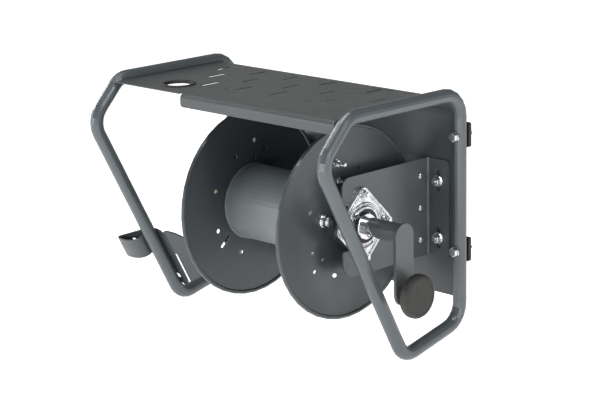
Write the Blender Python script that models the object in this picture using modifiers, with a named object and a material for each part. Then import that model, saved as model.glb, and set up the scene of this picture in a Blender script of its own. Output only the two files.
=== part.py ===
"""Wall-mounted hose reel with a tube frame, slotted top shelf and hand crank.

Metres, +Z up. +X runs along the axle towards the crank, +Y points to the wall.
The origin is in the wall plane (rear faces of the four pads), at the middle of
the four wall fixings. Every object is one separate piece of the real thing.
"""
import bpy
import bmesh
import math
from mathutils import Matrix, Vector

MM = 0.001
GAP = 0.3            # clearance left between touching pieces

# ---------------------------------------------------------------- frame loops
TUBE_R = 12.5        # 25 mm round tube
LOOP_X = 290.0       # loop planes at +-LOOP_X
TUBE_Y = -20.0       # axis of the vertical rear run
TOP_Z = 181.0        # axis of the top run
LOOP_PTS = [(-20.0, 181.0), (-20.0, -231.5), (-171.0, -266.0), (-370.0, 110.0), (-303.0, 181.0)]
LOOP_RAD = [42.0, 42.0, 33.0, 42.0, 42.0]

# ---------------------------------------------------------------- wall fixings
FIX_Z = 104.0        # wall bolts at X = +-LOOP_X, Z = +-FIX_Z
PAD_W, PAD_H = 20.0, 44.0
PAD_FRONT = -7.2

# ---------------------------------------------------------------- bent sheet
SHEET_T = 1.6
SHEET_HALF = 277.2   # half width between the loops
PANEL_BACK = -23.0   # rear face of the back panel
PANEL_FRONT = PANEL_BACK - SHEET_T
PANEL_LOW = -189.0
SHELF_TOP = 178.0
SHEET_BEND = 39.0    # outer radius of the bend from shelf to panel
SHELF_FRONT = -324.2
LIP_X0 = -99.5
LIP_NOTCH = 3.0      # relief beside the lip
LIP_R = 10.0         # outer radius of the lip's soft fold
LIP_LOW = 153.5
GROMMET = (-168.0, -265.4)
GROMMET_R = 32.0
SLOT_L, SLOT_W = 47.0, 9.0
CROSS_W = 7.0
ROW_Y = (-93.5, -154.5, -217.5)
ROW_RISE = (0.0226, 0.037, 0.065)    # each row runs slightly off square, about X = 0
ROW_X = ((-222.0, -132.0, -47.0, 42.0, 154.0), (-179.0, -90.0, 10.0, 101.0, 215.0), (-126.0, -43.0, 39.0, 152.0))
CROSS = ((-222.0, 0, 1), (-47.0, 0, 1), (154.0, 0, 1), (-43.0, 2, -1), (152.0, 2, -1))
CROSS_L = 52.0

# ---------------------------------------------------------------- shaft and drum
SHAFT_Y, SHAFT_Z = -203.0, -32.0
AXLE_R = 15.0
AXLE_X0, AXLE_X1 = -128.0, 300.0
DRUM_MID = 70.5
DISC_HALF = 118.0    # disc sheet centre planes at DRUM_MID +- DISC_HALF
DISC_R = 173.4
BEAD_R = 3.8
DISC_T = 2.0
CORE_R = 68.2
CORE_WALL = 2.0
HOLE_RING = 96.0     # eight openings on this radius, every 45 degrees
HOLE_START = 25.0
FIT_R, FIT_ANG = 59.5, 167.0
CLAMP_R = (79.0, 113.0)
CLAMP_ANG = 104.0

# ---------------------------------------------------------------- brackets
WEB_X = 223.0        # outer face of the right web
WEB_T = 3.0
WEB_HALF_H = 89.2
WEB_FRONT = -248.5
FLANGE_END = 272.0
NOTCH_HALF = 40.0
BOLT_X = 247.5
BOLT_DZ = (50.0, -55.0)
STIFF_T = 2.0
STIFF_LEG = 38.0
STIFF_FLANGE = 52.0
RIVET_Y = -48.5
RIVET_DZ = (58.7, 0.0, -58.7)

# ---------------------------------------------------------------- bearings
BRG_SIDE = 102.0
BRG_T = 6.7
BRG_BOLT = 56.0      # bolt distance from the shaft, along the diagonals
BOSS_R = 35.0
BOSS_X = 10.5        # height of the boss above the web
INNER_R = 34.0       # the housing's body, through the notch
INNER_X = -12.0
SEAL_R = 30.5
RING_R = 23.2

# ---------------------------------------------------------------- crank
CRANK_R = 103.0
CRANK_TUBE_R = 17.0
ARM_X0, ARM_X1 = 318.0, 323.4
ARM_W = 45.0
KNOB_R = 38.5
KNOB_X0, KNOB_X1 = 342.0, 360.0

# =================================================================== helpers
for ob in list(bpy.data.objects):
    bpy.data.objects.remove(ob, do_unlink=True)


def collection(name):
    c = bpy.data.collections.new(name)
    bpy.context.scene.collection.children.link(c)
    return c


PARTS = collection("hose_reel")
CUTS = collection("cutters")


def material(name, rgb, rough, metal):
    m = bpy.data.materials.new(name)
    m.use_nodes = True
    b = m.node_tree.nodes["Principled BSDF"]
    b.inputs["Base Color"].default_value = (rgb[0], rgb[1], rgb[2], 1.0)
    b.inputs["Roughness"].default_value = rough
    b.inputs["Metallic"].default_value = metal
    return m


POWDER = ((0.115, 0.130, 0.138), 0.45, 0.25)
DECK = ((0.105, 0.108, 0.106), 0.50, 0.20)
ZINC = ((0.72, 0.72, 0.70), 0.25, 1.0)
RUBBER = ((0.012, 0.012, 0.013), 0.70, 0.0)
KNOB = ((0.075, 0.074, 0.068), 0.60, 0.0)
BRASS = ((0.62, 0.47, 0.22), 0.30, 1.0)


def frame_yz(x, y, z):
    """Local x, y, z become world Y, Z, X."""
    return Matrix(((0, 0, 1, x * MM), (1, 0, 0, y * MM), (0, 1, 0, z * MM), (0, 0, 0, 1)))


def frame_xz(x, y, z):
    """Local x, y, z become world X, Z, -Y."""
    return Matrix(((1, 0, 0, x * MM), (0, 0, -1, y * MM), (0, 1, 0, z * MM), (0, 0, 0, 1)))


def frame_xy(x, y, z):
    return Matrix.Translation((x * MM, y * MM, z * MM))


def smooth(mesh, angle=35.0):
    mesh.shade_smooth()
    mesh.set_sharp_from_angle(angle=math.radians(angle))


def add(name, mesh, look, matrix=None, where=None, round_piece=False):
    ob = bpy.data.objects.new(name, mesh)
    (where or PARTS).objects.link(ob)
    if matrix is not None:
        ob.matrix_world = matrix
    if where is None:
        mesh.materials.append(material(name, *look))
        if round_piece:
            smooth(mesh)
    else:
        ob.hide_render = True
        ob.display_type = 'WIRE'
    return ob


def cut(ob, cutter, op='DIFFERENCE'):
    m = ob.modifiers.new(op.lower() + "_" + cutter.name, 'BOOLEAN')
    m.operation = op
    m.object = cutter
    m.solver = 'EXACT'
    return m


def arc(cx, cy, r, a0, a1, n):
    return [(cx + r * math.cos(math.radians(a0 + (a1 - a0) * i / n)),
             cy + r * math.sin(math.radians(a0 + (a1 - a0) * i / n))) for i in range(n + 1)]


def circle(cx, cy, r, n):
    return arc(cx, cy, r, 0, 360, n)[:-1]


def slot(cx, cy, length, width, ang=0.0, n=4):
    """Outline of a slot with round ends, long side along ang."""
    r, h = width / 2, (length - width) / 2
    pts = arc(h, 0, r, -90, 90, n) + arc(-h, 0, r, 90, 270, n)
    c, s = math.cos(math.radians(ang)), math.sin(math.radians(ang))
    return [(cx + x * c - y * s, cy + x * s + y * c) for x, y in pts]


def round_poly(pts, radii, n=5):
    """Closed polygon with its corners rounded to the given radii."""
    out = []
    k = len(pts)
    for i in range(k):
        p, a, b = Vector(pts[i]), Vector(pts[i - 1]), Vector(pts[(i + 1) % k])
        r = radii[i]
        u, v = (a - p).normalized(), (b - p).normalized()
        if r <= 0:
            out.append(tuple(p))
            continue
        half = u.angle(v) / 2
        t = r / math.tan(half)
        c = p + (u + v).normalized() * (r / math.sin(half))
        s, e = p + u * t - c, p + v * t - c
        turn = math.atan2(s.x * e.y - s.y * e.x, s.dot(e))
        base = math.atan2(s.y, s.x)
        for j in range(n + 1):
            q = base + turn * j / n
            out.append((c.x + r * math.cos(q), c.y + r * math.sin(q)))
    return out


def plate_mesh(name, loops, z0, z1):
    """Flat outline with holes, a filled 2D curve extruded between z0 and z1."""
    cu = bpy.data.curves.new(name, 'CURVE')
    cu.dimensions = '2D'
    cu.fill_mode = 'BOTH'
    cu.extrude = abs(z1 - z0) / 2 * MM
    cu.render_resolution_u = 0
    for lp in loops:
        sp = cu.splines.new('POLY')
        sp.points.add(len(lp) - 1)
        for pt, (x, y) in zip(sp.points, lp):
            pt.co = (x * MM, y * MM, 0, 1)
        sp.use_cyclic_u = True
    tmp = bpy.data.objects.new(name + "_curve", cu)
    CUTS.objects.link(tmp)
    bpy.context.view_layer.update()
    me = bpy.data.meshes.new_from_object(tmp.evaluated_get(bpy.context.evaluated_depsgraph_get()))
    bpy.data.objects.remove(tmp, do_unlink=True)
    me.name = name
    bm = bmesh.new()
    bm.from_mesh(me)
    bmesh.ops.remove_doubles(bm, verts=bm.verts, dist=0.00001)
    bmesh.ops.translate(bm, verts=bm.verts, vec=(0, 0, (z0 + z1) / 2 * MM))
    bmesh.ops.recalc_face_normals(bm, faces=bm.faces)
    bm.to_mesh(me)
    bm.free()
    return me


def sweep_mesh(name, pts, r, sides, cyclic=False):
    """Round tube or rod along a list of world points."""
    cu = bpy.data.curves.new(name, 'CURVE')
    cu.dimensions = '3D'
    cu.bevel_depth = r * MM
    cu.bevel_resolution = sides // 2 - 2
    cu.use_fill_caps = not cyclic
    cu.render_resolution_u = 0
    sp = cu.splines.new('POLY')
    sp.points.add(len(pts) - 1)
    for pt, (x, y, z) in zip(sp.points, pts):
        pt.co = (x * MM, y * MM, z * MM, 1)
    sp.use_cyclic_u = cyclic
    tmp = bpy.data.objects.new(name + "_curve", cu)
    CUTS.objects.link(tmp)
    bpy.context.view_layer.update()
    me = bpy.data.meshes.new_from_object(tmp.evaluated_get(bpy.context.evaluated_depsgraph_get()))
    bpy.data.objects.remove(tmp, do_unlink=True)
    me.name = name
    bm = bmesh.new()
    bm.from_mesh(me)
    bmesh.ops.remove_doubles(bm, verts=bm.verts, dist=0.00001)
    bmesh.ops.recalc_face_normals(bm, faces=bm.faces)
    bm.to_mesh(me)
    bm.free()
    return me


def lathe(name, look, profile, matrix, steps=40, where=None):
    """Closed profile (radius, height) turned about the local z axis.

    The profile runs along the top outwards, down the outer side and back."""
    me = bpy.data.meshes.new(name)
    bm = bmesh.new()
    vs = [bm.verts.new((r * MM, 0, z * MM)) for r, z in profile]
    closed = all(r > 0.001 for r, _ in profile)
    for i in range(len(vs) - (0 if closed else 1)):
        bm.edges.new((vs[i], vs[(i + 1) % len(vs)]))
    bm.to_mesh(me)
    bm.free()
    ob = add(name, me, look, matrix, where)
    s = ob.modifiers.new("turn", 'SCREW')
    s.axis = 'Z'
    s.angle = math.radians(360)
    s.steps = steps
    s.render_steps = steps
    s.use_merge_vertices = True
    s.merge_threshold = 0.00001
    s.use_smooth_shade = True
    return ob


def stepped(name, look, sections, matrix, sides=12, where=None):
    """A turned or hexagonal pin lofted through sections (height, shape, radius)."""
    me = bpy.data.meshes.new(name)
    bm = bmesh.new()
    rings = []
    for z, shape, r in sections:
        ring = []
        for i in range(sides):
            a = 2 * math.pi * i / sides
            rr = r
            if shape == 'hex':
                rr = r * math.cos(math.pi / 6) / math.cos((a + math.pi / 6) % (math.pi / 3) - math.pi / 6)
            ring.append(bm.verts.new((rr * math.cos(a) * MM, rr * math.sin(a) * MM, z * MM)))
        rings.append(ring)
    for lo, hi in zip(rings, rings[1:]):
        for i in range(sides):
            j = (i + 1) % sides
            bm.faces.new((lo[i], lo[j], hi[j], hi[i]))
    bm.faces.new(list(reversed(rings[0])))
    bm.faces.new(rings[-1])
    bmesh.ops.recalc_face_normals(bm, faces=bm.faces)
    bm.to_mesh(me)
    bm.free()
    return add(name, me, look, matrix, where, round_piece=True)


def cutter_rods(name, rods, matrix=None):
    """Cylinders as one cutter: (centre, axis, radius, length, segments)."""
    me = bpy.data.meshes.new(name)
    bm = bmesh.new()
    for (c, ax, r, ln, n) in rods:
        rot = Vector((0, 0, 1)).rotation_difference(Vector(ax)).to_matrix().to_4x4()
        bmesh.ops.create_cone(bm, cap_ends=True, segments=n, radius1=r * MM, radius2=r * MM, depth=ln * MM,
                              matrix=Matrix.Translation(Vector(c) * MM) @ rot)
    bm.to_mesh(me)
    bm.free()
    return add(name, me, None, matrix, CUTS)


# =================================================================== frame loops
def loop_path(x):
    pts = round_poly(LOOP_PTS, LOOP_RAD, 5)
    return [(x, y, z) for y, z in pts]


for side, sx in (("right", 1), ("left", -1)):
    x = sx * LOOP_X
    name = "frame_loop_" + side
    ob = add(name, sweep_mesh(name, loop_path(x), TUBE_R, 16, True), POWDER, round_piece=True)
    holes = cutter_rods(name + "_holes", [((x, TUBE_Y, z), (0, 1, 0), 4.6, 40, 12) for z in (FIX_Z, -FIX_Z)])
    cut(ob, holes)

# =================================================================== wall pads and bolts
for side, sx in (("right", 1), ("left", -1)):
    for level, z in (("upper", FIX_Z), ("lower", -FIX_Z)):
        x = sx * LOOP_X
        tag = level + "_" + side
        outline = round_poly([(-PAD_W / 2, -PAD_H / 2), (PAD_W / 2, -PAD_H / 2), (PAD_W / 2, PAD_H / 2), (-PAD_W / 2, PAD_H / 2)],
                             [3, 3, 3, 3], 2)
        me = plate_mesh("wall_pad_" + tag, [outline, list(reversed(circle(0, 0, 4.6, 12)))], 0, -PAD_FRONT)
        pad = add("wall_pad_" + tag, me, RUBBER, frame_xz(x, 0, z))
        stepped("wall_bolt_" + tag, ZINC,
                [(-12.0, 'round', 3.0), (-10.5, 'round', 4.0), (32.8, 'round', 4.0), (32.8, 'round', 10.0), (34.4, 'round', 9.8),
                 (34.4, 'hex', 8.6), (39.6, 'hex', 8.6), (40.8, 'hex', 7.4)], frame_xz(x, 0, z))

# =================================================================== shelf and back panel
def sheet_rows():
    """Middle surface of the sheet as (y, z), from the panel's lower edge to the shelf."""
    h = SHEET_T / 2
    rows = [(PANEL_BACK - h, PANEL_LOW)]
    cy, cz, r = PANEL_BACK - SHEET_BEND, SHELF_TOP - SHEET_BEND, SHEET_BEND - h
    rows += arc(cy, cz, r, 0, 90, 8)
    return rows


rows_main = sheet_rows()
mid_z = SHELF_TOP - SHEET_T / 2
lip_mid_r = LIP_R - SHEET_T / 2
fold_y = SHELF_FRONT + LIP_R
rows_main.append((fold_y, mid_z))
rows_lip = arc(fold_y, SHELF_TOP - LIP_R, lip_mid_r, 90, 180, 6)[1:] + [(SHELF_FRONT + SHEET_T / 2, LIP_LOW)]
me = bpy.data.meshes.new("shelf_panel")
bm = bmesh.new()
xs = (-SHEET_HALF, LIP_X0 - LIP_NOTCH, LIP_X0, SHEET_HALF)
grid = [[bm.verts.new((x * MM, y * MM, z * MM)) for x in xs] for y, z in rows_main]
for a, b in zip(grid, grid[1:]):
    for i in range(3):
        bm.faces.new((a[i], a[i + 1], b[i + 1], b[i]))
last = grid[-1]
ext = [bm.verts.new((x * MM, SHELF_FRONT * MM, mid_z * MM)) for x in xs[:2]]
bm.faces.new((last[0], last[1], ext[1], ext[0]))
prev = last[2:]
for y, z in rows_lip:
    row = [bm.verts.new((x * MM, y * MM, z * MM)) for x in xs[2:]]
    bm.faces.new((prev[0], prev[1], row[1], row[0]))
    prev = row
bmesh.ops.recalc_face_normals(bm, faces=bm.faces)
bm.to_mesh(me)
bm.free()
panel = add("shelf_panel", me, DECK, round_piece=True)
sol = panel.modifiers.new("sheet", 'SOLIDIFY')
sol.thickness = SHEET_T * MM
sol.offset = 0.0
sol.use_even_offset = True

k = 0
for yrow, rise, xrow in zip(ROW_Y, ROW_RISE, ROW_X):
    for xx in xrow:
        k += 1
        yy = yrow + rise * xx
        loops = [slot(xx, yy, SLOT_L, SLOT_W, 90)]
        for cxx, crow, end in CROSS:
            if cxx == xx and ROW_Y[crow] == yrow:
                yb = yy + end * (SLOT_L / 2 - CROSS_W / 2)
                w, hl, r, v = SLOT_W / 2, CROSS_L / 2, SLOT_L / 2, CROSS_W / 2
                tip = yy - end * r
                inner, outer = yb - end * v, yb + end * v
                loops = [round_poly([(xx - hl, inner), (xx - hl, outer), (xx + hl, outer), (xx + hl, inner), (xx + w, inner),
                                     (xx + w, tip), (xx - w, tip), (xx - w, inner)], [2.5, 2.5, 2.5, 2.5, 0, 3.5, 3.5, 0], 2)]
        c = add("slot_%02d" % k, plate_mesh("slot_%02d" % k, loops, SHELF_TOP - 6, SHELF_TOP + 4), None, None, CUTS)
        cut(panel, c)
c = add("grommet_hole", plate_mesh("grommet_hole", [circle(GROMMET[0], GROMMET[1], GROMMET_R - 3.7, 32)],
                                   SHELF_TOP - 6, SHELF_TOP + 4), None, None, CUTS)
cut(panel, c)
# holes for the bracket bolts, and a rounded corner at the lip's free end
LEFT_WEB_X = 2 * DRUM_MID - WEB_X
bolt_xs = (BOLT_X, 2 * DRUM_MID - BOLT_X)
c = cutter_rods("panel_bolt_holes", [((bx, (PANEL_BACK + PANEL_FRONT) / 2, SHAFT_Z + dz), (0, 1, 0), 4.6, 12, 12)
                                     for bx in bolt_xs for dz in BOLT_DZ])
cut(panel, c)
rc = 6.0
corner = [(LIP_X0 - 2, LIP_LOW - 2), (LIP_X0 + rc, LIP_LOW - 2)] + arc(LIP_X0 + rc, LIP_LOW + rc, rc, 270, 180, 5) + [(LIP_X0 - 2, LIP_LOW + rc)]
c = add("lip_corner", plate_mesh("lip_corner", [corner], -8, 8), None, frame_xz(0, SHELF_FRONT + 1, 0), CUTS)
cut(panel, c)

# grommet: a rubber ring whose groove holds the sheet's edge
gr_in, gr_hole = GROMMET_R - 7.0, GROMMET_R - 3.7
top, bot = SHELF_TOP, SHELF_TOP - SHEET_T
profile = [(gr_in, top + 1.0), (gr_in + 1.0, top + 2.0), (GROMMET_R - 1.5, top + 2.2), (GROMMET_R, top + GAP + 0.6), (GROMMET_R, top + GAP),
           (gr_hole - GAP, top + GAP), (gr_hole - GAP, bot - GAP), (GROMMET_R - 1.0, bot - GAP), (GROMMET_R - 1.0, bot - GAP - 1.8),
           (gr_in + 0.6, bot - GAP - 1.8), (gr_in, bot - GAP - 1.2)]
lathe("hole_grommet", RUBBER, profile, frame_xy(GROMMET[0], GROMMET[1], 0), 24)

# =================================================================== brackets
def web_outline():
    f, z = WEB_FRONT - SHAFT_Y, WEB_HALF_H
    back = PANEL_FRONT - SHAFT_Y
    n = NOTCH_HALF
    top = round_poly([(back, -z), (back, z), (f, z), (f, n), (0, n), (0, -n), (f, -n), (f, -z)],
                     [0, 0, 18, 3, 0, 0, 2, 26], 5)
    # the notch's closed end is a half circle about the shaft
    i = [j for j, p in enumerate(top) if abs(p[0]) < 1e-6 and abs(p[1] - n) < 1e-6][0]
    return top[:i] + arc(0, 0, n, 90, -90, 12) + top[i + 2:]


def mirror_x(x, sx):
    """Mirror about the drum's middle plane for the left bracket."""
    return x if sx > 0 else 2 * DRUM_MID - x


for side, sx in (("right", 1), ("left", -1)):
    y1 = PANEL_FRONT - GAP
    xo, xi, xe = mirror_x(WEB_X, sx), mirror_x(WEB_X - WEB_T, sx), mirror_x(FLANGE_END, sx)
    # angle section, bent with a small outer radius, seen from above
    sec = [(xo, WEB_FRONT - 5), (xo, y1 - WEB_T), (xe, y1 - WEB_T), (xe, y1), (xi, y1), (xi, WEB_FRONT - 5)]
    br = add("bracket_" + side, plate_mesh("bracket_" + side, [round_poly(sec, [0, 3.4, 0, 0, 6.4, 0], 4)],
                                           SHAFT_Z - WEB_HALF_H, SHAFT_Z + WEB_HALF_H), POWDER)
    lo, hi = min(xo, xi, xe) - 20, max(xo, xi, xe) + 20
    shape = add("web_shape_" + side, plate_mesh("web_shape_" + side, [web_outline()], lo, hi), None,
                frame_yz(0, SHAFT_Y, SHAFT_Z), CUTS)
    cut(br, shape, 'INTERSECT')
    bx = mirror_x(BOLT_X, sx)
    flange_cut = [slot(bx, dz, 40.0, 10.0, 90) for dz in (50.5, -54.0)]
    for q in (1, -1):
        ce, cz, rc = xe - (8.0 if sx > 0 else -8.0), q * (WEB_HALF_H - 8.0), 8.0
        a0, a1 = (0, 90 * q) if sx > 0 else (180, 180 - 90 * q)
        far = xe + (4.0 if sx > 0 else -4.0)
        flange_cut.append([(far, q * (WEB_HALF_H + 4))] + [(far, cz)] + arc(ce, cz, rc, a0, a1, 5) + [(ce, q * (WEB_HALF_H + 4))])
    for i, lp in enumerate(flange_cut):
        c = add("flange_slot_%s_%d" % (side, i), plate_mesh("fs", [lp], -8, 8), None, frame_xz(0, y1 - 1.5, SHAFT_Z), CUTS)
        cut(br, c)
    xm = (xo + xi) / 2
    rods = [((xm, RIVET_Y, SHAFT_Z + dz), (1, 0, 0), 2.8, 20, 10) for dz in RIVET_DZ]
    rods += [((xm, SHAFT_Y + dy, SHAFT_Z + dz), (1, 0, 0), 5.2, 20, 12) for dy, dz in ((0, BRG_BOLT), (BRG_BOLT, 0), (0, -BRG_BOLT))]
    cut(br, cutter_rods("web_holes_" + side, rods))
    # stiffener: a second angle behind the web, its flange pointing the other way
    s0, s1 = mirror_x(WEB_X - WEB_T - GAP, sx), mirror_x(WEB_X - WEB_T - STIFF_T - GAP, sx)
    se = mirror_x(WEB_X - WEB_T - GAP - STIFF_FLANGE, sx)
    sec = [(s0, y1 - STIFF_LEG), (s0, y1), (se, y1), (se, y1 - STIFF_T), (s1, y1 - STIFF_T), (s1, y1 - STIFF_LEG)]
    st = add("stiffener_" + side, plate_mesh("stiffener_" + side, [round_poly(sec, [0, 3.3, 0, 0, 1.2, 0], 2)],
                                             SHAFT_Z - WEB_HALF_H + 3, SHAFT_Z + WEB_HALF_H), POWDER)
    sm = (s0 + s1) / 2
    cut(st, cutter_rods("stiff_holes_" + side, [((sm, RIVET_Y, SHAFT_Z + dz), (1, 0, 0), 2.85, 17, 12) for dz in RIVET_DZ]))
    # rivets through web and stiffener, dome outside
    for tag, dz in zip(("upper", "middle", "lower"), RIVET_DZ):
        f = frame_yz(0, RIVET_Y, SHAFT_Z + dz)
        secs = [(-4.6 - WEB_T - STIFF_T, 'round', 2.4), (-2.6 - WEB_T - STIFF_T, 'round', 4.2), (-0.6 - WEB_T - STIFF_T, 'round', 4.2),
                (-0.6 - WEB_T - STIFF_T, 'round', 2.5), (GAP, 'round', 2.5), (GAP, 'round', 5.6), (1.5, 'round', 5.3), (2.7, 'round', 4.0), (3.3, 'round', 1.8)]
        secs = [(WEB_X + z, s, r) if sx > 0 else (2 * DRUM_MID - WEB_X - z, s, r) for z, s, r in secs]
        stepped("rivet_%s_%s" % (tag, side), ZINC, secs, f, 10)
    # bracket bolts: head behind the panel, washer and flange nut in front
    for tag, dz in zip(("upper", "lower"), BOLT_DZ):
        yh = -PANEL_BACK
        secs = [(yh - 6.0, 'hex', 7.0), (yh - GAP, 'hex', 7.5), (yh - GAP, 'round', 4.0)]
        yf = -(y1 - WEB_T) + GAP
        secs += [(yf, 'round', 4.0), (yf, 'round', 11.0), (yf + 1.6, 'round', 11.0), (yf + 1.6, 'round', 10.2), (yf + 3.2, 'round', 9.2),
                 (yf + 3.2, 'hex', 8.2), (yf + 9.0, 'hex', 8.2), (yf + 10.0, 'hex', 7.2), (yf + 10.0, 'round', 4.0), (yf + 14.0, 'round', 3.6)]
        stepped("bracket_bolt_%s_%s" % (tag, side), ZINC, secs, frame_xz(bx, 0, SHAFT_Z + dz))

# =================================================================== bearings
def signed(profile, sx):
    """Heights are measured outwards from the web; mirrored on the left."""
    if sx > 0:
        return [(r, WEB_X + z) for r, z in profile]
    return [(r, 2 * DRUM_MID - WEB_X - z) for r, z in reversed(profile)]


for side, sx in (("right", 1), ("left", -1)):
    h = BRG_SIDE / 2
    sq = round_poly([(-h, -h), (h, -h), (h, h), (-h, h)], [12] * 4, 4)
    c45 = math.cos(math.radians(45))
    sq = [((x - y) * c45, (x + y) * c45) for x, y in sq]
    holes = [list(reversed(circle(BRG_BOLT * math.cos(a), BRG_BOLT * math.sin(a), 5.2, 12))) for a in [i * math.pi / 2 for i in range(4)]]
    z0, z1 = (WEB_X + GAP, WEB_X + GAP + BRG_T) if sx > 0 else (2 * DRUM_MID - WEB_X - GAP - BRG_T, 2 * DRUM_MID - WEB_X - GAP)
    hs = add("bearing_housing_" + side,
             plate_mesh("bearing_housing_" + side, [sq, list(reversed(circle(0, 0, SEAL_R + 1.5, 20)))] + holes, z0, z1),
             ZINC, frame_yz(0, SHAFT_Y, SHAFT_Z), round_piece=True)
    boss = [(SEAL_R, BOSS_X), (BOSS_R - 1.2, BOSS_X), (BOSS_R, BOSS_X - 1.0), (BOSS_R + 1.0, BRG_T - 1.0), (BOSS_R + 1.0, 3.0), (INNER_R, 3.0),
            (INNER_R, INNER_X + 1.5), (INNER_R - 1.5, INNER_X), (SEAL_R, INNER_X)]
    bo = lathe("boss_" + side, None, signed(boss, sx), frame_yz(0, SHAFT_Y, SHAFT_Z), 24, CUTS)
    cut(hs, bo, 'UNION')
    seal = [(RING_R + 0.4, BOSS_X - 1.2), (SEAL_R - GAP, BOSS_X - 0.8), (SEAL_R - GAP, INNER_X + 1.0), (RING_R + 0.4, INNER_X + 1.0)]
    lathe("bearing_seal_" + side, RUBBER, signed(seal, sx), frame_yz(0, SHAFT_Y, SHAFT_Z), 24)
    ring = [(AXLE_R + GAP, 15.0), (RING_R - 1.5, 15.0), (RING_R, 14.0), (RING_R, INNER_X), (AXLE_R + GAP, INNER_X)]
    lathe("bearing_ring_" + side, ZINC, signed(ring, sx), frame_yz(0, SHAFT_Y, SHAFT_Z), 24)
    for tag, dy, dz in (("upper", 0, BRG_BOLT), ("rear", BRG_BOLT, 0), ("lower", 0, -BRG_BOLT)):
        wb = -WEB_T - GAP
        secs = [(wb - 6.0, 'hex', 7.6), (wb, 'hex', 8.2), (wb, 'round', 4.6)]
        zf = 2 * GAP + BRG_T
        secs += [(zf, 'round', 4.6), (zf, 'round', 8.6), (zf + 1.4, 'round', 8.6), (zf + 1.4, 'hex', 7.6), (zf + 7.4, 'hex', 7.6),
                 (zf + 7.4, 'round', 4.6), (zf + 10.4, 'round', 4.0)]
        secs = [(WEB_X + z, s, r) if sx > 0 else (2 * DRUM_MID - WEB_X - z, s, r) for z, s, r in secs]
        stepped("bearing_bolt_%s_%s" % (tag, side), ZINC, secs, frame_yz(0, SHAFT_Y + dy, SHAFT_Z + dz))

# =================================================================== lance holder
# One bent sheet. Its bends run parallel to the slanting front tube, so the
# section is drawn in the plane across that tube: x = world X, t = distance
# behind the tube's axis. s is the distance down the tube from its front corner.
D, C = Vector(LOOP_PTS[3]), Vector(LOOP_PTS[2])
U = (C - D).normalized()
N = Vector((-U.y, U.x)) if -U.y > 0 else Vector((U.y, -U.x))
HOLD_T = 2.5
PLATE_T = 14.25      # the plate's middle surface, behind the tube
STRIP_S = 315.0      # lower edge of the pocket strip
SPLIT_X = -300.0     # the strip leaves the plate here
WING_X = -262.0      # bend line of the inboard wing
WING_TURN = 30.0     # degrees, backwards
POCKET_KNOTS = [(-300.0, 14.25), (-311.0, 10.6), (-323.0, 3.0), (-340.0, -10.5), (-352.0, -20.0), (-356.6, -24.6), (-353.5, -28.2), (-343.0, -29.6),
                (-331.0, -29.4), (-318.0, -26.6), (-309.0, -21.0), (-304.9, -13.5), (-304.1, -4.0)]


def spline(pts, n):
    """Smooth curve through the knots, n steps between neighbours."""
    out = []
    for i in range(len(pts) - 1):
        a, b, c, d = [Vector(pts[min(max(k, 0), len(pts) - 1)]) for k in (i - 1, i, i + 1, i + 2)]
        for j in range(n):
            u = j / n
            out.append(tuple(0.5 * ((2 * b) + (c - a) * u + (2 * a - 5 * b + 4 * c - d) * u * u + (3 * b - a - 3 * c + d) * u ** 3)))
    return out + [tuple(pts[-1])]


pocket = spline(POCKET_KNOTS, 2)[1:]


def hold_pt(x, t, s):
    p = D + U * s + N * t
    return Vector((x * MM, p.x * MM, p.y * MM))


me = bpy.data.meshes.new("lance_holder")
bm = bmesh.new()
s_rows = (262.0, STRIP_S + 1.5, 412.0)
wx, wt = 48.0, 48.0 * math.tan(math.radians(WING_TURN))
far = [bm.verts.new(hold_pt(WING_X + wx, PLATE_T + wt, q)) for q in s_rows]
inner = [bm.verts.new(hold_pt(WING_X, PLATE_T, q)) for q in s_rows]
split = [bm.verts.new(hold_pt(SPLIT_X, PLATE_T, q)) for q in s_rows]
outer = [bm.verts.new(hold_pt(-320.0, PLATE_T, q)) for q in s_rows[1:]]
for j in range(2):
    bm.faces.new((far[j], far[j + 1], inner[j + 1], inner[j]))
    bm.faces.new((inner[j], inner[j + 1], split[j + 1], split[j]))
bm.faces.new((split[1], split[2], outer[1], outer[0]))
prev = split[:2]
for x, t in pocket:
    row = [bm.verts.new(hold_pt(x, t, q)) for q in s_rows[:2]]
    bm.faces.new((prev[0], prev[1], row[1], row[0]))
    prev = row
bmesh.ops.recalc_face_normals(bm, faces=bm.faces)
bm.to_mesh(me)
bm.free()
holder = add("lance_holder", me, POWDER, round_piece=True)
sol = holder.modifiers.new("sheet", 'SOLIDIFY')
sol.thickness = HOLD_T * MM
sol.offset = 0.0
sol.use_even_offset = True
# across the tube: local x = world X, local y = down the tube, local z = t
m_h = Matrix(((1, 0, 0, 0), (0, U.x, N.x, D.x * MM), (0, U.y, N.y, D.y * MM), (0, 0, 0, 1)))
outline = [(-366.0, 271.0), (-305.0, 271.0), (-297.0, 268.6), (-289.0, 268.0), (-280.0, 268.6), (-274.5, 271.5), (-270.0, 276.5), (-265.5, 271.5),
           (-259.8, 269.7), (-252.6, 273.9), (-245.4, 279.8), (-238.2, 287.9), (-232.6, 296.4), (-227.0, 308.0), (-224.5, 320.0), (-225.0, 370.0),
           (-228.5, 381.0), (-237.0, 389.0), (-256.5, 396.0), (-258.6, 395.6), (-259.3, 394.0), (-259.3, 328.0), (-260.4, 325.7), (-262.3, 325.0),
           (-264.2, 325.7), (-265.3, 328.0), (-265.3, 394.0), (-266.8, 400.5), (-270.5, 405.2), (-275.5, 407.6), (-280.5, 407.3), (-285.0, 404.6),
           (-290.0, 402.0), (-298.0, 401.0), (-305.0, 399.5), (-311.0, 395.0), (-315.0, 387.0)]
outline += [(-315.0, 325.0), (-313.5, 321.0), (-310.0, 319.0), (-298.8, 318.0), (-297.6, 316.5), (-298.8, STRIP_S), (-366.0, STRIP_S)]
c = add("holder_outline", plate_mesh("holder_outline", [outline, list(reversed(circle(-287.5, 386.0, 6.4, 16)))], -70, 60), None, m_h, CUTS)
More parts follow.
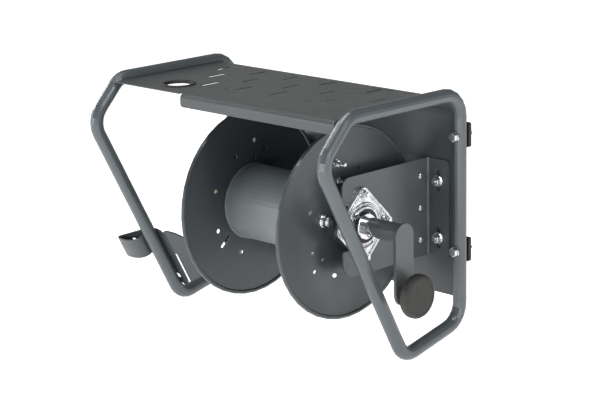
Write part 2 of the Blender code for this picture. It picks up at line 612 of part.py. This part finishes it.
cut(holder, c, 'INTERSECT')
c = add("holder_hole", plate_mesh("holder_hole", [circle(-337.0, 287.0, 3.4, 12)], -21, 6), None, m_h, CUTS)
cut(holder, c)

# =================================================================== drum
SH = frame_yz(0, SHAFT_Y, SHAFT_Z)


def polar(r, a):
    return (r * math.cos(math.radians(a)), r * math.sin(math.radians(a)))


for side, sx in (("right", 1), ("left", -1)):
    xc = DRUM_MID + sx * DISC_HALF
    t = DISC_T / 2
    rb = DISC_R - BEAD_R
    a0 = math.degrees(math.asin(t / BEAD_R))
    bead = [(rb + BEAD_R * math.cos(math.radians(a)), BEAD_R * math.sin(math.radians(a))) for a in
            [180 - a0 - (360 - 2 * a0) * i / 7 for i in range(8)]]
    prof = [(AXLE_R + GAP, t)] + bead + [(AXLE_R + GAP, -t)]
    prof = [(r, xc + z) for r, z in prof]
    disc = lathe("drum_disc_" + side, POWDER, prof, SH, 40)
    lps = []
    for i in range(8):
        a = HOLE_START + 45 * i
        lps.append(slot(*polar(HOLE_RING, a), 13.0, 7.0, a + 90, 3) if i % 4 == 1 else circle(*polar(HOLE_RING, a), 4.3, 10))
    if sx > 0:
        lps += [circle(*polar(r, CLAMP_ANG), 3.6, 8) for r in CLAMP_R]
        lps += [circle(*polar(r, -138.3), 3.6, 8) for r in (84.0, 110.0)]
        lps.append(circle(*polar(FIT_R, FIT_ANG), 5.8, 14))
    else:
        lps += [circle(*polar(80.0, 84.5), 4.0, 8), circle(*polar(111.5, 86.0), 4.5, 10)]
        lps.append(slot(*polar(94.0, -138.0), 30.0, 6.5, -138.0, 3))
    for i, lp in enumerate(lps):
        c = add("disc_hole_%s_%02d" % (side, i), plate_mesh("dh", [lp], xc - 6, xc + 6), None, SH, CUTS)
        cut(disc, c)

x0, x1 = DRUM_MID - DISC_HALF + DISC_T / 2 + GAP, DRUM_MID + DISC_HALF - DISC_T / 2 - GAP
core = lathe("drum_core", POWDER, [(CORE_R - CORE_WALL, x1), (CORE_R, x1), (CORE_R, x0), (CORE_R - CORE_WALL, x0)], SH, 48)
fa = math.radians(CLAMP_ANG)

axle = stepped("axle", ZINC, [(AXLE_X0, 'round', AXLE_R - 1.5), (AXLE_X0 + 1.5, 'round', AXLE_R), (AXLE_X1 - 1.5, 'round', AXLE_R), (AXLE_X1, 'round', AXLE_R - 1.5)],
        SH, 24)
sa = math.radians(-140.0)
cut(axle, cutter_rods("set_screw_hole", [((253.0, SHAFT_Y + 15.0 * math.cos(sa), SHAFT_Z + 15.0 * math.sin(sa)), (0, math.cos(sa), math.sin(sa)), 3.4, 14, 10)]))

for side, sx in (("right", 1), ("left", -1)):
    xf = DRUM_MID + sx * (DISC_HALF + DISC_T / 2 + GAP)
    hub = [(AXLE_R + GAP, 14.0), (20.0, 14.0), (20.0, 4.0), (41.0, 4.0), (41.0, 0.0), (AXLE_R + GAP, 0.0)]
    hub = [(r, xf + z) for r, z in hub] if sx > 0 else [(r, xf - z) for r, z in reversed(hub)]
    hb = lathe("drum_hub_" + side, POWDER, hub, SH, 32)

# outlet elbow: from the drum through the right disc, locked by a flange nut
FY, FZ = polar(FIT_R, FIT_ANG)
fx = DRUM_MID + DISC_HALF + DISC_T / 2
stepped("outlet_fitting", ZINC,
        [(fx - 26.0, 'round', 5.0), (fx - 25.0, 'round', 6.1), (fx - DISC_T - GAP - 2.2, 'round', 6.1), (fx - DISC_T - GAP - 2.2, 'round', 6.4),
         (fx - DISC_T - GAP, 'round', 6.4), (fx - DISC_T - GAP, 'round', 5.4), (fx + GAP, 'round', 5.4), (fx + GAP, 'round', 12.0), (fx + 1.8, 'round', 12.0),
         (fx + 3.4, 'round', 10.6), (fx + 3.4, 'hex', 9.4), (fx + 12.0, 'hex', 9.4), (fx + 13.4, 'hex', 8.2), (fx + 13.4, 'round', 5.6), (fx + 17.0, 'round', 5.0)],
        frame_yz(0, SHAFT_Y + FY, SHAFT_Z + FZ), 18)

# hose clamp: a U-bolt through the right disc, nuts outside
xd = DRUM_MID + DISC_HALF
rm, rr = sum(CLAMP_R) / 2, (CLAMP_R[1] - CLAMP_R[0]) / 2
er, ex = Vector((0, math.cos(fa), math.sin(fa))), Vector((1, 0, 0))
base = Vector((0, SHAFT_Y, SHAFT_Z))
path = [base + er * CLAMP_R[0] + ex * (xd + 25)]
path += [base + er * (rm - rr * math.cos(math.radians(b))) + ex * (xd - 14 - rr * math.sin(math.radians(b))) for b in range(0, 181, 30)]
path += [base + er * CLAMP_R[1] + ex * (xd + 25)]
clamp = add("hose_clamp", sweep_mesh("hose_clamp", [tuple(p) for p in path], 3.0, 8), ZINC, round_piece=True)
for i, r in enumerate(CLAMP_R):
    dy, dz = polar(r, CLAMP_ANG)
    z = xd + DISC_T / 2 + GAP
    nut = stepped("clamp_nut_%d" % i, None, [(z, 'round', 6.6), (z + 1.4, 'round', 6.6), (z + 1.4, 'hex', 5.8), (z + 7.0, 'hex', 5.8)],
                  frame_yz(0, SHAFT_Y + dy, SHAFT_Z + dz), 12, CUTS)
    cut(clamp, nut, 'UNION')

# =================================================================== crank
ct = lathe("crank_tube", POWDER, [(AXLE_R + GAP, ARM_X0 - GAP), (CRANK_TUBE_R, ARM_X0 - GAP), (CRANK_TUBE_R, 241.0), (AXLE_R + GAP, 241.0)], SH, 32)
# the tube's inner end is cut at a slant: longer at the top
slant = [(200.0, 2.0 * -15.0), (276.0, -30.0), (239.0, 30.0), (200.0, 30.0)]
c = add("crank_slant", plate_mesh("crank_slant", [slant], -40, 40), None, frame_xz(0, SHAFT_Y, SHAFT_Z), CUTS)
cut(ct, c)
ss = math.radians(-140.0)
sdir = Vector((0, math.cos(ss), math.sin(ss)))
sm = Matrix.Translation(Vector((253.0, SHAFT_Y, SHAFT_Z)) * MM) @ Vector((0, 0, 1)).rotation_difference(sdir).to_matrix().to_4x4()
hw = ARM_W / 2
arm = arc(0, -3.0, hw, 0, 180, 12) + arc(0, -CRANK_R, hw, 180, 360, 12)
am = add("crank_arm", plate_mesh("crank_arm", [arm, list(reversed(circle(0, -CRANK_R, 5.6, 12)))], ARM_X0, ARM_X1), POWDER, SH)
stepped("crank_set_screw", ZINC, [(9.0, 'round', 2.6), (AXLE_R + GAP, 'round', 3.0), (AXLE_R + GAP, 'round', 4.2), (18.2, 'round', 4.2), (19.2, 'round', 3.2)], sm)
KM = frame_yz(0, SHAFT_Y, SHAFT_Z - CRANK_R)
stepped("knob_pin", ZINC, [(ARM_X0 - 3.0, 'round', 6.0), (ARM_X0 - GAP, 'round', 8.5), (ARM_X0 - GAP, 'round', 5.2), (ARM_X1 + GAP, 'round', 5.2),
                           (ARM_X1 + GAP, 'round', 9.0), (ARM_X1 + 4.0, 'round', 9.0), (ARM_X1 + 4.0, 'round', 5.0), (KNOB_X1 - 7.0, 'round', 5.0)], KM)
kp = [(0.0, KNOB_X1)] + [(KNOB_R - 5.0, KNOB_X1), (KNOB_R - 1.8, KNOB_X1 - 1.6), (KNOB_R, KNOB_X1 - 5.0), (KNOB_R, KNOB_X0 + 5.0), (KNOB_R - 1.8, KNOB_X0 + 1.6),
                          (KNOB_R - 5.0, KNOB_X0), (13.0, KNOB_X0), (13.0, ARM_X1 + 4.6), (5.6, ARM_X1 + 4.6), (5.6, KNOB_X1 - 6.0), (0.0, KNOB_X1 - 6.0)]
lathe("crank_knob", KNOB, kp, KM, 28)

# =================================================================== inlet swivel
sw = [(9.0, -141.0)]
prof = [(AXLE_R + 0.4, -101.0), (19.0, -101.0), (21.0, -103.0), (21.0, -140.0), (19.0, -142.0), (0.0, -142.0)]
prof = [(0.0, -129.5)][:0] + prof
body = [(AXLE_R + 0.4, -101.0), (19.0, -101.0), (21.0, -103.0), (21.0, -140.0), (19.0, -142.0), (0.0, -142.0), (0.0, -130.0), (AXLE_R + 0.4, -130.0)]
me = bpy.data.meshes.new("inlet_swivel")
bm = bmesh.new()
order = [(0.0, -130.0), (AXLE_R + 0.4, -130.0), (AXLE_R + 0.4, -101.0), (19.0, -101.0), (21.0, -103.0), (21.0, -140.0), (19.0, -142.0), (0.0, -142.0)]
vs = [bm.verts.new((r * MM, 0, z * MM)) for r, z in order]
for a, b in zip(vs, vs[1:]):
    bm.edges.new((a, b))
bm.to_mesh(me)
bm.free()
swv = add("inlet_swivel", me, BRASS, SH)
s = swv.modifiers.new("turn", 'SCREW')
s.axis = 'Z'
s.angle = math.radians(360)
s.steps = 28
s.render_steps = 28
s.use_merge_vertices = True
s.merge_threshold = 0.00001
s.use_smooth_shade = True
down = Vector((0, 0, -1))
nm = Matrix.Translation(Vector((-120.0, SHAFT_Y, SHAFT_Z)) * MM) @ Vector((0, 0, 1)).rotation_difference(down).to_matrix().to_4x4()
stub = stepped("swivel_stub", None, [(17.0, 'round', 10.0), (30.0, 'round', 10.0)], nm, 12, CUTS)
cut(swv, stub, 'UNION')
stepped("inlet_nipple", BRASS, [(30.0 + GAP, 'hex', 13.0), (40.0, 'hex', 13.0), (40.0, 'round', 9.5), (56.0, 'round', 9.5), (58.0, 'round', 8.4)], nm)
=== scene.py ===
"""Wall-mounted hose reel: finished look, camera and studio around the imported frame."""
import bpy
import bmesh
import math
from mathutils import Matrix, Vector


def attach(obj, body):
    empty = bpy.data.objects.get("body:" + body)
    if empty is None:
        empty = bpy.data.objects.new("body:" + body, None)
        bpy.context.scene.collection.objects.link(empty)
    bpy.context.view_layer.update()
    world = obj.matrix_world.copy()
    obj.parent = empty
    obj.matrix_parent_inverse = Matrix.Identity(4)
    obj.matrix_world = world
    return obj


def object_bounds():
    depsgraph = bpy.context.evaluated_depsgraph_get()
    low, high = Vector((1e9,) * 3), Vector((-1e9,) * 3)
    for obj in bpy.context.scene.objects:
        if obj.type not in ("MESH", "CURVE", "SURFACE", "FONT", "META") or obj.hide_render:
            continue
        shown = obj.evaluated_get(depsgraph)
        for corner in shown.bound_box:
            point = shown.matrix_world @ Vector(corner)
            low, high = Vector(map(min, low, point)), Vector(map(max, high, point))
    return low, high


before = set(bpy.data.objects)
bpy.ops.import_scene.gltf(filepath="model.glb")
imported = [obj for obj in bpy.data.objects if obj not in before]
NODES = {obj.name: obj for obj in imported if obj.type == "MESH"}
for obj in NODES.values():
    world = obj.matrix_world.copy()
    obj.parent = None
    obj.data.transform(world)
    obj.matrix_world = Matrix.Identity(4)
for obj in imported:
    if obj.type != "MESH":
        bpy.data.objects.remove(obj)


def plain(b):
    return [[float(v) for v in c] for c in b]


cad_box = plain(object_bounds())
MM = 0.001
SHAFT = Vector((0.0, -0.203, -0.032))

# ------------------------------------------------------------------ camera
az, el, roll = math.radians(45.003), math.radians(14.026), math.radians(-1.161)
back = Vector((math.sin(az) * math.cos(el), -math.cos(az) * math.cos(el), math.sin(el)))
right = Vector((math.cos(az), math.sin(az), 0.0))
up = (-back).cross(right) * -1.0
r2 = right * math.cos(roll) + up * math.sin(roll)
u2 = up * math.cos(roll) - right * math.sin(roll)
cam = bpy.data.cameras.new("camera")
cam.lens = 118.57
cam.sensor_width = 36.0
cam.clip_end = 60.0
cam_ob = bpy.data.objects.new("camera", cam)
bpy.context.scene.collection.objects.link(cam_ob)
cam_ob.matrix_world = Matrix(((r2.x, u2.x, back.x, 2.4816), (r2.y, u2.y, back.y, -2.6096), (r2.z, u2.z, back.z, 0.8386), (0, 0, 0, 1)))
bpy.context.scene.camera = cam_ob


# ------------------------------------------------------------------ node helpers
class Mat:
    """A small builder for node materials on object coordinates, in metres."""

    def __init__(self, name):
        self.m = bpy.data.materials.new(name)
        self.m.use_nodes = True
        self.t = self.m.node_tree
        self.b = self.t.nodes["Principled BSDF"]
        self.co = self.t.nodes.new("ShaderNodeTexCoord").outputs["Object"]

    def link(self, a, b):
        self.t.links.new(a, b)

    def noise(self, scale, detail=2.0, rough=0.5, dist=0.0, vec=None):
        n = self.t.nodes.new("ShaderNodeTexNoise")
        n.inputs["Scale"].default_value = scale
        n.inputs["Detail"].default_value = detail
        n.inputs["Roughness"].default_value = rough
        n.inputs["Distortion"].default_value = dist
        self.link(vec or self.co, n.inputs["Vector"])
        return n.outputs["Fac"]

    def stretch(self, sx, sy, sz):
        n = self.t.nodes.new("ShaderNodeMapping")
        n.inputs["Scale"].default_value = (sx, sy, sz)
        self.link(self.co, n.inputs["Vector"])
        return n.outputs["Vector"]

    def ramp(self, fac, stops):
        n = self.t.nodes.new("ShaderNodeValToRGB")
        e = n.color_ramp.elements
        e[0].position, e[0].color = stops[0][0], (*stops[0][1], 1.0)
        e[1].position, e[1].color = stops[-1][0], (*stops[-1][1], 1.0)
        for p, c in stops[1:-1]:
            q = e.new(p)
            q.color = (*c, 1.0)
        self.link(fac, n.inputs["Fac"])
        return n.outputs["Color"]

    def span(self, fac, lo, hi, a=0.3, b=0.7):
        n = self.t.nodes.new("ShaderNodeMapRange")
        n.inputs["From Min"].default_value = a
        n.inputs["From Max"].default_value = b
        n.inputs["To Min"].default_value = lo
        n.inputs["To Max"].default_value = hi
        self.link(fac, n.inputs["Value"])
        return n.outputs["Result"]

    def math(self, op, a, b):
        n = self.t.nodes.new("ShaderNodeMath")
        n.operation = op
        for i, v in enumerate((a, b)):
            if isinstance(v, (int, float)):
                n.inputs[i].default_value = v
            else:
                self.link(v, n.inputs[i])
        return n.outputs["Value"]

    def mix(self, fac, a, b):
        n = self.t.nodes.new("ShaderNodeMix")
        n.data_type = 'RGBA'
        for key, v in ((0, fac), (6, a), (7, b)):
            if isinstance(v, (int, float)):
                n.inputs[key].default_value = v
            elif isinstance(v, tuple):
                n.inputs[key].default_value = (*v, 1.0)
            else:
                self.link(v, n.inputs[key])
        return n.outputs[2]

    def bump(self, height, strength, dist, normal=None):
        n = self.t.nodes.new("ShaderNodeBump")
        n.inputs["Strength"].default_value = strength
        n.inputs["Distance"].default_value = dist
        self.link(height, n.inputs["Height"])
        if normal is not None:
            self.link(normal, n.inputs["Normal"])
        return n.outputs["Normal"]

    def set(self, **kw):
        for k, v in kw.items():
            s = self.b.inputs[k.replace("_", " ")]
            if isinstance(v, tuple):
                s.default_value = (*v, 1.0) if len(v) == 3 else v
            elif isinstance(v, (int, float)):
                s.default_value = v
            else:
                self.link(v, s)


def shade(c, k):
    return tuple(min(1.0, v * k) for v in c)


def powder(name, rgb, rough=0.42, spec=0.5, peel=1.0, metal=0.0):
    """Satin powder coat: orange peel, fine metallic fleck and slow tone drift."""
    m = Mat(name)
    slow = m.noise(9.0, 3.0, 0.55)
    fleck = m.noise(2600.0, 1.0, 0.5)
    base = m.ramp(slow, [(0.3, shade(rgb, 0.94)), (0.7, shade(rgb, 1.06))])
    spots = m.span(fleck, 0.0, 1.0, 0.62, 0.74)
    col = m.mix(m.math('MULTIPLY', spots, 0.35), base, shade(rgb, 2.0))
    smudge = m.noise(38.0, 4.0, 0.6)
    m.set(Base_Color=col, Metallic=metal, Roughness=m.span(smudge, rough - 0.04, rough + 0.05))
    m.b.inputs["Specular IOR Level"].default_value = spec
    fine = m.bump(m.noise(1500.0, 2.0, 0.5), 0.10 * peel, 0.0002)
    m.set(Normal=m.bump(m.noise(420.0, 2.0, 0.5), 0.16 * peel, 0.0004, fine))
    return m.m


def zinc(name, rgb=(0.62, 0.63, 0.64), rough=0.22, grain=1.0):
    """Bright zinc plate: cloudy passivation and a faint fine-grain bump."""
    m = Mat(name)
    cloud = m.noise(120.0, 4.0, 0.6, 0.4)
    fine = m.noise(900.0, 2.0, 0.6)
    col = m.ramp(cloud, [(0.25, shade(rgb, 0.72)), (0.5, rgb), (0.75, shade((rgb[0], rgb[1], rgb[2] * 1.03), 1.12))])
    m.set(Base_Color=col, Metallic=1.0, Roughness=m.span(fine, rough - 0.06, rough + 0.12))
    m.set(Normal=m.bump(m.noise(700.0, 3.0, 0.6), 0.12 * grain, 0.0003))
    return m.m


def cast(name, rgb=(0.50, 0.51, 0.52), rough=0.15):
    """Plated casting: soft dimples over a bright finish."""
    m = Mat(name)
    lump = m.noise(85.0, 3.0, 0.5, 0.5)
    col = m.ramp(m.noise(60.0, 4.0, 0.6, 0.8), [(0.3, shade(rgb, 0.5)), (0.46, shade(rgb, 0.85)), (0.56, shade(rgb, 1.2)), (0.74, shade(rgb, 1.5))])
    m.set(Base_Color=col, Metallic=1.0, Roughness=m.span(m.noise(300.0, 3.0), rough - 0.05, rough + 0.12))
    m.set(Normal=m.bump(lump, 0.35, 0.0016, m.bump(m.noise(600.0, 2.0), 0.15, 0.0003)))
    return m.m


def rubber(name, rgb=(0.012, 0.012, 0.013), rough=0.55):
    m = Mat(name)
    dust = m.noise(260.0, 5.0, 0.65)
    col = m.ramp(dust, [(0.35, shade(rgb, 0.8)), (0.75, shade(rgb, 1.7))])
    m.set(Base_Color=col, Roughness=m.span(m.noise(90.0, 3.0), rough - 0.08, rough + 0.12))
    m.b.inputs["Specular IOR Level"].default_value = 0.4
    m.set(Normal=m.bump(m.noise(1800.0, 2.0, 0.6), 0.2, 0.0002))
    return m.m


def moulded(name, rgb, rough=0.52):
    """Spark-eroded moulded plastic."""
    m = Mat(name)
    grain = m.noise(2200.0, 2.0, 0.6)
    col = m.ramp(m.noise(30.0, 3.0), [(0.3, shade(rgb, 0.93)), (0.7, shade(rgb, 1.07))])
    m.set(Base_Color=col, Roughness=m.span(grain, rough - 0.05, rough + 0.1))
    m.b.inputs["Specular IOR Level"].default_value = 0.45
    m.set(Normal=m.bump(grain, 0.35, 0.00022, m.bump(m.noise(500.0, 2.0), 0.06, 0.0003)))
    return m.m


def brass(name):
    m = Mat(name)
    rgb = (0.60, 0.44, 0.19)
    col = m.ramp(m.noise(70.0, 4.0, 0.6), [(0.3, shade(rgb, 0.72)), (0.7, shade(rgb, 1.08))])
    m.set(Base_Color=col, Metallic=1.0, Roughness=m.span(m.noise(500.0, 2.0), 0.22, 0.38))
    m.set(Normal=m.bump(m.noise(800.0, 2.0), 0.15, 0.0002))
    return m.m


FRAME_RGB = (0.075, 0.087, 0.095)
DISC_RGB = (0.051, 0.057, 0.060)
SHELF_RGB = (0.069, 0.075, 0.077)
M_TUBE = powder("coat_tube", FRAME_RGB, 0.31, 0.75, 0.8, 0.15)
M_DISC = powder("coat_disc", DISC_RGB, 0.34, 0.7, 1.0, 0.15)
# painted shade: the left drum disc gets a darker copy of the disc coat, standing in for the shade that falls on its
# inner face
M_DISC_L_PAINTED_SHADE = powder("coat_disc_left_painted_shade", (0.044, 0.050, 0.055), 0.32, 0.6, 1.0, 0.15)
M_CORE = powder("coat_core", (0.162, 0.183, 0.188), 0.38, 0.6)
M_PLATE = powder("coat_plate", (0.078, 0.085, 0.090), 0.34, 0.6, 1.0, 0.2)
M_SHELF = powder("coat_shelf", SHELF_RGB, 0.38, 0.5, 1.0, 0.2)
M_CRANK = powder("coat_crank", (0.074, 0.082, 0.085), 0.36, 0.6, 1.0, 0.1)
M_HOLD = powder("coat_holder", (0.058, 0.067, 0.073), 0.36, 0.5)
M_ZINC = zinc("zinc_bolts")
M_AXLE = zinc("zinc_axle", (0.60, 0.61, 0.62), 0.20)
M_RIVET = zinc("rivet_alloy", (0.66, 0.67, 0.68), 0.30)
M_CAST = cast("zinc_casting")
M_RING = zinc("ring_steel", (0.68, 0.69, 0.70), 0.14, 0.6)
M_RUB = rubber("black_rubber")
M_SEAL = rubber("seal_rubber", (0.010, 0.010, 0.011), 0.35)
M_KNOB = moulded("knob_plastic", (0.021, 0.0203, 0.0185))
M_BRASS = brass("turned_brass")

# the left drum disc takes the darker copy of the disc coat, which is painted shade
PICK = (("frame_loop", M_TUBE), ("drum_disc_left", M_DISC_L_PAINTED_SHADE), ("drum_disc", M_DISC), ("drum_core", M_CORE), ("drum_hub", M_DISC), ("bracket_bolt", M_ZINC),
        ("bracket", M_PLATE), ("stiffener", M_PLATE), ("shelf_panel", M_SHELF), ("hole_grommet", M_RUB), ("lance_holder", M_HOLD),
        ("bearing_housing", M_CAST), ("bearing_seal", M_SEAL), ("bearing_ring", M_RING), ("bearing_bolt", M_ZINC), ("wall_pad", M_RUB),
        ("wall_bolt", M_ZINC), ("rivet", M_RIVET), ("axle", M_AXLE), ("outlet_fitting", M_ZINC), ("hose_clamp", M_ZINC),
        ("crank_set_screw", M_ZINC), ("crank_knob", M_KNOB), ("crank", M_CRANK), ("knob_pin", M_AXLE), ("inlet", M_BRASS))
for name, ob in NODES.items():
    for key, mat in PICK:
        if name.startswith(key):
            ob.data.materials.clear()
            ob.data.materials.append(mat)
            break

# ------------------------------------------------------------------ added detail
def piece(name, mesh, mat, body, smooth=True):
    ob = bpy.data.objects.new(name, mesh)
    bpy.context.scene.collection.objects.link(ob)
    mesh.materials.append(mat)
    if smooth:
        mesh.shade_smooth()
        mesh.set_sharp_from_angle(angle=math.radians(50))
    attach(ob, body)
    return ob


def tube_mesh(name, pts, radii, sides=10, closed=False):
    """A round section swept along points, its radius set at each one."""
    me = bpy.data.meshes.new(name)
    bm = bmesh.new()
    rings = []
    n = len(pts)
    ref = Vector((0.31, 0.17, 0.93)).normalized()
    for i, p in enumerate(pts):
        a = pts[(i - 1) % n] if (closed or i > 0) else pts[i]
        b = pts[(i + 1) % n] if (closed or i < n - 1) else pts[i]
        t = (Vector(b) - Vector(a)).normalized()
        u = ref.cross(t).normalized()
        v = t.cross(u)
        r = radii[i] if isinstance(radii, (list, tuple)) else radii
        rings.append([bm.verts.new(Vector(p) + (u * math.cos(2 * math.pi * k / sides) + v * math.sin(2 * math.pi * k / sides)) * r) for k in range(sides)])
    for i in range(n if closed else n - 1):
        lo, hi = rings[i], rings[(i + 1) % n]
        for k in range(sides):
            q = (k + 1) % sides
            bm.faces.new((lo[k], lo[q], hi[q], hi[k]))
    if not closed:
        bm.faces.new(list(reversed(rings[0])))
        bm.faces.new(rings[-1])
    bmesh.ops.recalc_face_normals(bm, faces=bm.faces)
    bm.to_mesh(me)
    bm.free()
    return me


def thread(name, centre, axis, r, z0, z1, pitch=1.25, turns_seg=12):
    """A rolled thread crest wound round a bolt end."""
    ax = Vector(axis).normalized()
    u = ax.orthogonal().normalized()
    v = ax.cross(u)
    n = max(12, int((z1 - z0) / pitch * turns_seg))
    pts = []
    for i in range(n + 1):
        a = 2 * math.pi * i / turns_seg
        z = z0 + (z1 - z0) * i / n
        pts.append((Vector(centre) + ax * z + (u * math.cos(a) + v * math.sin(a)) * r) * MM)
    rad = [0.42 * MM * min(1.0, 0.25 + i / 6.0, 0.25 + (n - i) / 6.0) for i in range(n + 1)]
    return tube_mesh(name, pts, rad, 5)


def ring_bead(name, centre, axis, r, thick, wobble=0.0, seg=48, sides=8):
    """A weld bead or rolled ring round an axis."""
    ax = Vector(axis).normalized()
    u = ax.orthogonal().normalized()
    v = ax.cross(u)
    pts, rad = [], []
    for i in range(seg):
        a = 2 * math.pi * i / seg
        pts.append((Vector(centre) + (u * math.cos(a) + v * math.sin(a)) * r) * MM)
        rad.append((thick + wobble * math.sin(i * 2.4) * 0.5 + wobble * math.sin(i * 0.9)) * MM)
    return tube_mesh(name, pts, rad, sides, True)


SX, SY, SZ = 0.0, -203.0, -32.0
XR, XL = 188.5, -47.5
# welds of the drum core to the discs, and of the crank arm to its tube
for tag, x, sgn in (("right", XR - 1.4, -1), ("left", XL + 1.4, 1)):
    piece("core_weld_" + tag, ring_bead("core_weld_" + tag, (x, SY, SZ), (1, 0, 0), 68.6, 1.5, 0.25, 120), M_CORE, "drum")
piece("arm_weld", ring_bead("arm_weld", (317.6, SY, SZ), (1, 0, 0), 17.2, 1.3, 0.2, 48), M_CRANK, "drum")
# weld that closes the lip's right end against the loop
piece("lip_weld", tube_mesh("lip_weld", [Vector((276.9, -322.6, 178.0 - 2.4 * i)) * MM for i in range(10)],
                            [(1.2 + 1.4 * math.sin(math.pi * (i + 0.5) / 10) + 0.2 * math.sin(i * 2.1)) * MM for i in range(10)], 10), M_SHELF, "frame")
# turned ridges on the knob's face
for k, (r, t) in enumerate(((31.5, 0.8), (12.0, 0.6))):
    piece("knob_ridge_%d" % k, ring_bead("knob_ridge", (359.7, SY, -135.0), (1, 0, 0), r, t, 0.0, 72, 8), M_KNOB, "knob")
# threads on the clamp studs and the bracket bolts
for i, r in enumerate((79.0, 113.0)):
    a = math.radians(104.0)
    c = (0.0, SY + r * math.cos(a), SZ + r * math.sin(a))
    piece("clamp_thread_%d" % i, thread("clamp_thread_%d" % i, c, (1, 0, 0), 2.95, XR + 8.6, XR + 24.0, 1.3, 10), M_ZINC, "drum")
for tag, bx in (("right", 247.5), ("left", 141.0 - 247.5)):
    for lv, dz in (("upper", 50.0), ("lower", -55.0)):
        yf = 28.3 + 0.3
        piece("bracket_thread_%s_%s" % (lv, tag), thread("bt", (bx, 0.0, SZ + dz), (0, -1, 0), 3.75, yf + 10.2, yf + 13.6, 1.2, 12), M_ZINC, "frame")
# cast ribs on the bearing flanges: a rim following the square and a ring round the boss
for tag, sx in (("right", 1), ("left", -1)):
    f = (lambda x: x) if sx > 0 else (lambda x: 141.0 - x)
    h, rc = 45.6, 10.0
    pts = []
    for k, (cx, cz) in enumerate(((h - rc, h - rc), (-h + rc, h - rc), (-h + rc, -h + rc), (h - rc, -h + rc))):
        for j in range(6):
            a = math.radians(90 * k + 18 * j)
            y, z = cx + rc * math.cos(a), cz + rc * math.sin(a)
            pts.append(Vector((f(229.7), SY + (y - z) * 0.7071, SZ + (y + z) * 0.7071)) * MM)
        nx, nz = ((-1, 0), (0, -1), (1, 0), (0, 1))[k]
        for j in range(1, 8):
            y = cx + rc * math.cos(math.radians(90 * (k + 1))) + nx * (2 * (h - rc)) * j / 8
            z = cz + rc * math.sin(math.radians(90 * (k + 1))) + nz * (2 * (h - rc)) * j / 8
            pts.append(Vector((f(229.7), SY + (y - z) * 0.7071, SZ + (y + z) * 0.7071)) * MM)
    piece("flange_rim_" + tag, tube_mesh("flange_rim", pts, 1.7 * MM, 10, True), M_CAST, "frame")
    piece("boss_ring_" + tag, ring_bead("boss_ring", (f(229.6), SY, SZ), (1, 0, 0), 39.6, 2.3, 0.0, 72, 10), M_CAST, "frame")
# the two grub screws in each bearing's ring
for tag, sx in (("right", 1), ("left", -1)):
    f = (lambda x: x) if sx > 0 else (lambda x: 141.0 - x)
    for k, ang in enumerate((75.0, 195.0)):
        a = math.radians(ang)
        d = Vector((0, math.cos(a), math.sin(a)))
        p0 = Vector((f(236.0), SY, SZ)) + d * 22.0
        pts = [(p0 + d * t) * MM for t in (0.0, 1.5, 1.51, 0.6)]
        piece("ring_screw_%s_%d" % (tag, k), tube_mesh("rs", pts[:2] + [(p0 + d * 1.9) * MM], [2.1 * MM, 2.1 * MM, 1.5 * MM], 12), M_AXLE, "drum")

# ------------------------------------------------------------------ studio
lo, hi = cad_box
floor_z = lo[2] - 0.0005
me = bpy.data.meshes.new("studio_floor")
bm = bmesh.new()
bmesh.ops.create_grid(bm, x_segments=1, y_segments=1, size=60.0)
bm.to_mesh(me)
bm.free()
floor = bpy.data.objects.new("studio_floor", me)
bpy.context.scene.collection.objects.link(floor)
floor.location = (0.0, 0.0, floor_z)
fm = Mat("floor_white")
fm.set(Base_Color=fm.ramp(fm.noise(3.0), [(0.3, (0.70, 0.70, 0.70)), (0.7, (0.72, 0.72, 0.72))]), Roughness=0.75)
fm.b.inputs["Specular IOR Level"].default_value = 0.1
fm.b.inputs["Emission Color"].default_value = (1.0, 1.0, 1.0, 1.0)
fm.b.inputs["Emission Strength"].default_value = 0.98
me.materials.append(fm.m)

# a studio that is light low down and darker overhead, so bright metal has contrast
world = bpy.data.worlds.new("studio")
bpy.context.scene.world = world
world.use_nodes = True
wt = world.node_tree
bg = wt.nodes["Background"]
geo = wt.nodes.new("ShaderNodeTexCoord")
sep = wt.nodes.new("ShaderNodeSeparateXYZ")
wt.links.new(geo.outputs["Generated"], sep.inputs["Vector"])
wr = wt.nodes.new("ShaderNodeValToRGB")
e = wr.color_ramp.elements
e[0].position, e[0].color = 0.0, (0.85, 0.86, 0.87, 1.0)
e[1].position, e[1].color = 1.0, (0.20, 0.20, 0.21, 1.0)
for p, v in ((0.50, 0.70), (0.58, 0.34), (0.75, 0.20)):
    q = e.new(p)
    q.color = (v, v, v * 1.02, 1.0)
mr = wt.nodes.new("ShaderNodeMapRange")
mr.inputs["From Min"].default_value = -1.0
mr.inputs["From Max"].default_value = 1.0
wt.links.new(sep.outputs["Z"], mr.inputs["Value"])
wt.links.new(mr.outputs["Result"], wr.inputs["Fac"])
wt.links.new(wr.outputs["Color"], bg.inputs["Color"])
bg.inputs["Strength"].default_value = 0.8


def softbox(name, where, target, size, power, tint=(1.0, 1.0, 1.0)):
    li = bpy.data.lights.new(name, 'AREA')
    li.shape = 'RECTANGLE'
    li.size, li.size_y = size
    li.energy = power
    li.color = tint
    o = bpy.data.objects.new(name, li)
    bpy.context.scene.collection.objects.link(o)
    d = Vector(target) - Vector(where)
    o.matrix_world = Matrix.Translation(where) @ d.to_track_quat('-Z', 'Y').to_matrix().to_4x4()
    return o


softbox("front_low", (-1.2, -2.9, 0.3), (0, -0.2, -0.05), (1.8, 0.7), 22, (0.94, 0.985, 1.0))
softbox("left_rim", (-2.5, -0.5, 0.9), (-0.1, -0.2, 0), (0.35, 1.6), 30, (0.96, 0.99, 1.0))
softbox("top", (-0.6, -0.5, 2.4), (0, -0.3, 0), (1.8, 1.0), 34, (1.0, 0.975, 0.935))
softbox("upper_right", (1.7, -0.5, 1.9), (-0.1, -0.2, 0.1), (0.4, 0.8), 17)
softbox("low_right", (1.0, -2.4, -0.1), (0.25, 0, -0.2), (0.8, 0.25), 9, (0.95, 0.99, 1.0))
softbox("side", (2.8, -0.6, 0.6), (0, -0.2, -0.05), (0.7, 1.2), 17, (0.97, 0.99, 1.0))

bpy.context.scene.view_settings.view_transform = 'Standard'
